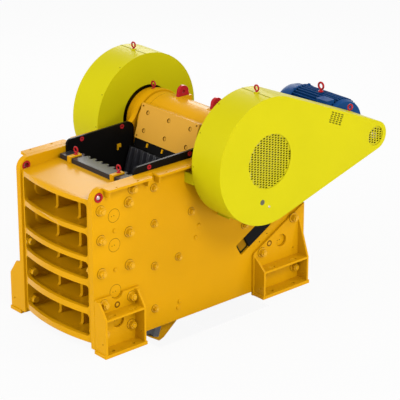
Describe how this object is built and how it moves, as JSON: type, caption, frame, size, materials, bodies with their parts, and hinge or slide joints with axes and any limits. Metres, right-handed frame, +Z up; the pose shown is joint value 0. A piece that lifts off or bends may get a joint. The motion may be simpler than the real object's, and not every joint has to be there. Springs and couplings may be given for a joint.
{
  "type": "jaw crusher",
  "caption": "Single-toggle jaw crusher with bolted frame, toothed jaws, guarded flywheels, belt drive and rear-mounted motor.",
  "frame": {"origin": "centre of the four outer foundation bolts, in the plane of the foot soles", "axes": "+X across the machine to the belt side, +Y along it from the fixed jaw to the motor end, +Z up"},
  "size_m": [2.508, 3.929, 2.8889],
  "materials": {
    "frame_yellow": "orange-yellow machine paint, satin",
    "guard_yellow": "lemon yellow paint, satin",
    "black_paint": "black paint, satin",
    "jaw_steel": "dark cast manganese steel",
    "guard_screen": "perforated sheet, lemon yellow paint",
    "motor_blue": "dark blue paint",
    "belt_rubber": "black rubber",
    "wheel_iron": "cast iron, orange-yellow paint",
    "shaft_steel": "turned steel",
    "lifting_red": "red paint",
    "toggle_iron": "bare cast iron"
  },
  "bodies": {
    "frame": {"bearing_housing_left": "frame_yellow", "bearing_housing_right": "frame_yellow", "belt_guard": "guard_yellow", "belt_guard_screens": "guard_screen", "cheek_plate_left": "black_paint", "cheek_plate_right": "black_paint", "cheek_plugs": "lifting_red", "drive_belts": "belt_rubber", "fixed_jaw_clamps": "frame_yellow", "fixed_jaw_die": "jaw_steel", "flywheel_guard": "guard_yellow", "flywheel_guard_screen": "guard_screen", "foot_front_left": "frame_yellow", "foot_front_right": "frame_yellow", "foot_rear_left": "frame_yellow", "foot_rear_right": "frame_yellow", "front_frame": "frame_yellow", "guard_brackets_left": "guard_yellow", "guard_brackets_right": "guard_yellow", "hopper_flange_left": "frame_yellow", "hopper_flange_right": "frame_yellow", "lifting_bushes": "lifting_red", "lifting_eyes": "lifting_red", "motor": "motor_blue", "motor_base": "frame_yellow", "motor_fan_cover": "motor_blue", "motor_sheave": "wheel_iron", "motor_terminal_box": "motor_blue", "rear_frame": "frame_yellow", "side_plate_left": "frame_yellow", "side_plate_right": "frame_yellow", "toggle_beam": "black_paint", "toggle_plate": "toggle_iron", "toggle_spacers": "frame_yellow"},
    "shaft": {"eccentric_shaft": "shaft_steel", "flywheel_right": "wheel_iron", "flywheel_left": "wheel_iron"},
    "swing_jaw": {"pitman": "frame_yellow", "swing_jaw_die": "jaw_steel", "swing_die_key": "black_paint", "pitman_guard_plate": "frame_yellow", "pitman_lifting_lugs": "lifting_red", "toggle_seat": "toggle_iron", "swing_die_clamps": "frame_yellow"}
  },
  "joints": [
    {"name": "shaft_spin", "type": "hinge", "parent": "frame", "child": "shaft", "pos_m": [0, 0.492, 1.862], "axis": [1, 0, 0], "continuous": true},
    {"name": "swing_jaw_orbit", "type": "hinge", "parent": "shaft", "child": "swing_jaw", "pos_m": [0, 0.492, 1.847], "axis": [1, 0, 0], "continuous": true}
  ],
  "couplings": [
    {"joint": "swing_jaw_orbit", "follows": "shaft_spin", "ratio": -1}
  ]
}
